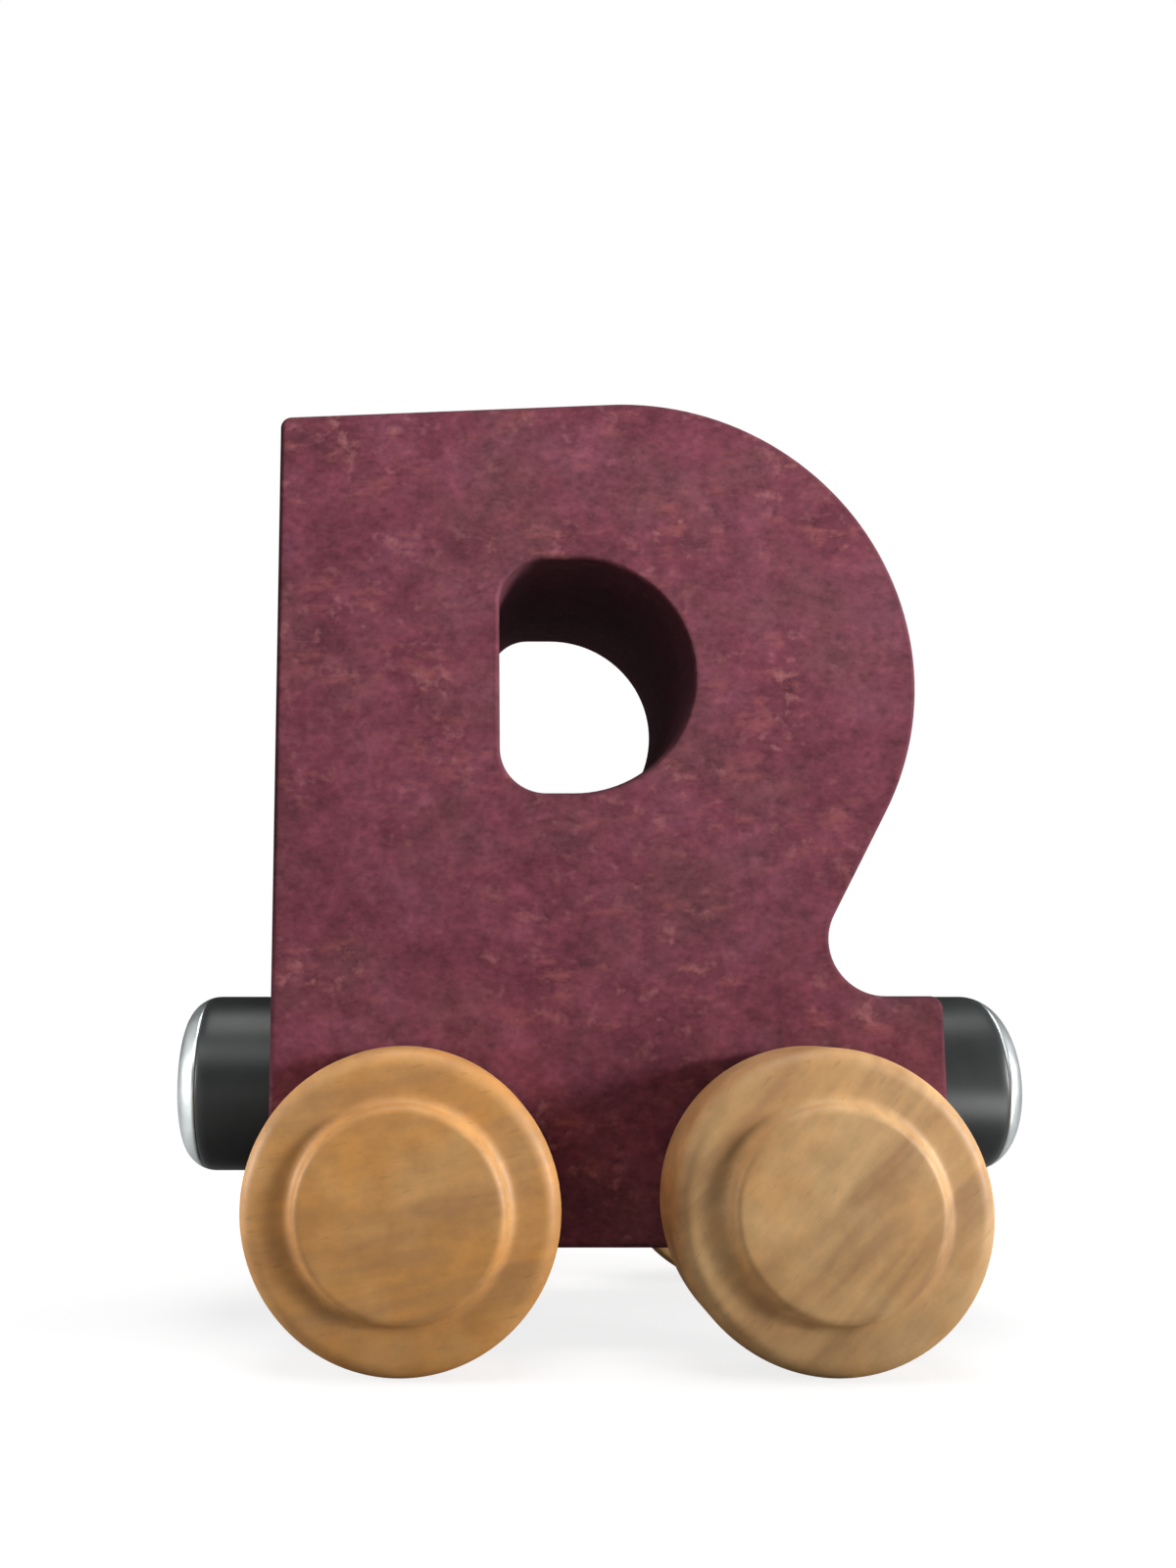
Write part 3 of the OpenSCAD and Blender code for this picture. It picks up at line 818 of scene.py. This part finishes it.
def lay_floor(scene, stage):
    """Lays a wide floor under the car."""
    bm = bmesh.new()
    bmesh.ops.create_circle(bm, cap_ends=True, radius=FLOOR_RADIUS, segments=FLOOR_STEPS)
    mesh = bpy.data.meshes.new("floor")
    bm.to_mesh(mesh)
    bm.free()
    mesh.materials.append(pale_floor(stage))
    floor = bpy.data.objects.new("floor", mesh)
    scene.collection.objects.link(floor)


def white_room(stage):
    """White room that the camera sees as plain white, with a little light from all round.

    Glossy surfaces see bright walls past both ends of the car, dimmer at the right, in front and behind, and
    a brighter panel high up in front, at the left.
    """
    world = bpy.data.worlds.new("White room")
    world.use_nodes = True
    tree = world.node_tree
    path = add_node(tree, "LightPath").outputs
    way = add_node(tree, "TexCoord").outputs["Generated"]
    axes = add_node(tree, "SeparateXYZ", {"Vector": way}).outputs
    sideways = add_node(tree, "Math", {0: axes["X"]}, operation="ABSOLUTE").outputs[0]
    walls = add_node(tree, "MapRange", {"Value": sideways, "From Min": 0.35, "From Max": 0.95,
                                        "To Min": 0.12, "To Max": 1.05}).outputs[0]
    right = add_node(tree, "MapRange", {"Value": axes["X"], "From Min": -0.3, "From Max": 0.3,
                                        "To Min": 1, "To Max": 0.75}).outputs[0]
    behind = add_node(tree, "MapRange", {"Value": axes["Y"], "From Min": 0, "From Max": 0.7,
                                         "To Min": 1, "To Max": 0.4}).outputs[0]
    for factor in (right, behind):
        walls = add_node(tree, "Math", {0: walls, 1: factor}, operation="MULTIPLY").outputs[0]
    panel = add_node(tree, "ValToRGB", {"Fac": axes["Z"]},
                     ramp=((0.45, 0), (0.6, 1), (0.72, 1), (0.86, 0))).outputs["Color"]
    left = add_node(tree, "MapRange", {"Value": axes["X"], "From Min": 0.2, "From Max": -0.05}).outputs[0]
    ahead = add_node(tree, "MapRange", {"Value": axes["Y"], "From Min": -0.2, "From Max": -0.5,
                                        "To Max": 3.4}).outputs[0]
    for factor in (left, ahead):
        panel = add_node(tree, "Math", {0: panel, 1: factor}, operation="MULTIPLY").outputs[0]
    mirrored = add_node(tree, "Math", {0: walls, 1: panel}, operation="ADD").outputs[0]
    room = add_node(tree, "Mix", {0: path["Is Glossy Ray"], 2: stage.sky_strength, 3: mirrored}).outputs[0]
    clear = add_node(tree, "Math", {0: path["Is Camera Ray"], 1: path["Is Transmission Ray"]},
                     operation="MAXIMUM").outputs[0]
    level = add_node(tree, "Mix", {0: clear, 2: room, 3: 1.0}).outputs[0]
    background = tree.nodes["Background"]
    background.inputs["Color"].default_value = stage.backdrop
    tree.links.new(level, background.inputs["Strength"])
    return world


def hang_light(scene, light, place, target):
    """Hangs a light at a place, turns it to a target and returns its holder."""
    holder = bpy.data.objects.new(light.name, light)
    holder.location = place
    holder.rotation_euler = (place - target).to_track_quat("Z", "Y").to_euler()
    holder.visible_camera = False
    scene.collection.objects.link(holder)
    return holder


def light_stage(scene, stage):
    """Lights the stage by two spots at the right, aimed high, and from overhead, with weaker light all round.

    The key is broad. The beam beside it fades down the wheels, and the edge light picks out the left edges
    of the hubs.
    """
    # Power, place, target and radius in millimetres, cone in degrees and softness of its rim
    spots = {
        "key": (stage.key_power, (272, -121, 84), (0, 0, 70), 90, 25, 1),
        "beam": (stage.beam_power, (272, -121, 84), (0, 0, 75), 35, 30, 0.75),
        "edge": (stage.edge_power, (-80, -18, 22), (-14, -17, 10), 8, 45, 1),
    }
    for name, (power, place, target, radius, cone, softness) in spots.items():
        spot = bpy.data.lights.new(name, "SPOT")
        spot.energy = power
        spot.shadow_soft_size = radius * MM
        spot.spot_size = math.radians(cone)
        spot.spot_blend = softness
        hang_light(scene, spot, MM * Vector(place), MM * Vector(target))
    # Strength, the way to the light and its spread in degrees
    suns = {
        "top": (stage.top_strength, (0.05, -0.06, 1), 40),
        "fill": (stage.fill_strength, (-0.8, -0.6, 0.1), 60),
        "back": (stage.back_strength, (0.85, 0.5, 0.15), 30),
    }
    for name, (strength, way, spread) in suns.items():
        sun = bpy.data.lights.new(name, "SUN")
        sun.energy = strength
        sun.angle = math.radians(spread)
        holder = hang_light(scene, sun, Vector(way), Vector())
        # The couplers would mirror the light behind as a hard streak
        holder.visible_glossy = name != "back"
    scene.world = white_room(stage)


def set_camera(scene, stage):
    """Places the camera close in front, a little left of the middle and low, looking slightly up."""
    view = bpy.data.cameras.new("camera")
    view.lens = stage.lens
    view.shift_x = stage.shift_across
    view.shift_y = stage.shift_up
    view.clip_start = 1 * MM
    camera = bpy.data.objects.new("camera", view)
    camera.location = stage.camera_place
    camera.rotation_euler = (QUARTER + stage.camera_pitch, 0, 0)
    scene.collection.objects.link(camera)
    scene.camera = camera


class LETTERCAR_OT_stage(Operator):
    """Set the floor, the light and the camera"""

    bl_idname = "letter_car.stage"
    bl_label = "Stage"

    def execute(self, context):
        stage = context.scene.letter_car.stage
        lay_floor(context.scene, stage)
        light_stage(context.scene, stage)
        set_camera(context.scene, stage)
        context.scene.view_settings.view_transform = "Standard"
        return {"FINISHED"}


class LETTERCAR_PT_panel(Panel):
    """Sidebar panel that lists the steps of the letter car and its settings"""

    bl_idname = "LETTERCAR_PT_panel"
    bl_label = "Letter Train Car"
    bl_space_type = "VIEW_3D"
    bl_region_type = "UI"
    bl_category = "Letter Car"

    def draw(self, context):
        car = context.scene.letter_car
        for step in STEPS:
            self.layout.operator(step.bl_idname)
        for group in (car.letter, car.wheel, car.coupler, car.finish, car.stage):
            box = self.layout.box()
            for name in group.__annotations__:
                box.prop(group, name)


STEPS = (
    LETTERCAR_OT_letter, LETTERCAR_OT_wheels, LETTERCAR_OT_couplers, LETTERCAR_OT_hardware,
    LETTERCAR_OT_stage,
)
CLASSES = (
    LetterShape, WheelShape, CouplerShape, Finishes, StageSetup, LetterCar,
    *STEPS, LETTERCAR_PT_panel,
)


def register():
    for cls in CLASSES:
        bpy.utils.register_class(cls)
    bpy.types.Scene.letter_car = PointerProperty(type=LetterCar)


def unregister():
    del bpy.types.Scene.letter_car
    for cls in reversed(CLASSES):
        bpy.utils.unregister_class(cls)


def main():
    register()
    bpy.ops.letter_car.letter()
    bpy.ops.letter_car.wheels()
    bpy.ops.letter_car.couplers()
    bpy.ops.letter_car.hardware()
    bpy.ops.letter_car.stage()


if __name__ == "__main__":
    main()
